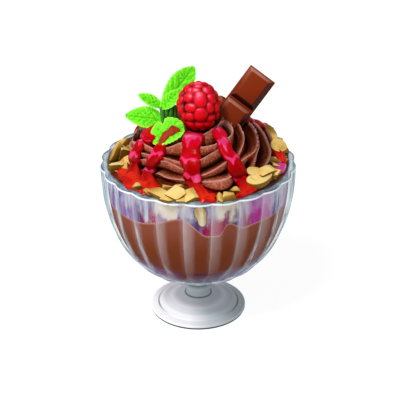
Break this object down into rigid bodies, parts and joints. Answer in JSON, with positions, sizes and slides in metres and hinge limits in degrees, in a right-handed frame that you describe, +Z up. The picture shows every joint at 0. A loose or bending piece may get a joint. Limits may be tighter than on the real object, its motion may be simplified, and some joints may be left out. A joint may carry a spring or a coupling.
{
  "type": "chocolate mousse in a footed dessert glass",
  "caption": "Chocolate mousse in a fluted, footed glass, topped with a piped swirl, red sauce, chopped nuts, a raspberry, mint and a piece of chocolate bar.",
  "frame": {"origin": "middle of the underside of the glass's foot, on the table", "axes": "+Z up along the axis of the glass; the front of the dessert looks along -Y, and +X is to the viewer's right"},
  "size_m": [0.0992, 0.0994, 0.1324],
  "materials": {
    "pressed_glass": "clear, smooth pressed glass",
    "berry_sauce": "wet, glossy fruit sauce",
    "chocolate_mousse": "soft satin, very fine pores",
    "roasted_peanut": "satin, smooth halves and matt broken faces",
    "raspberry_skin": "moist satin skin",
    "milk_chocolate": "moulded, satin gloss",
    "mint_leaf": "crinkled leaf, satin"
  },
  "bodies": {
    "root": {"glass": "pressed_glass", "bottom_sauce": "berry_sauce", "mousse": "chocolate_mousse", "berry_sauce": "berry_sauce", "nut_heap": "roasted_peanut", "piped_swirl": "chocolate_mousse", "raspberry": "raspberry_skin", "chocolate_bar": "milk_chocolate", "mint_sprig": "mint_leaf"}
  },
  "joints": []
}
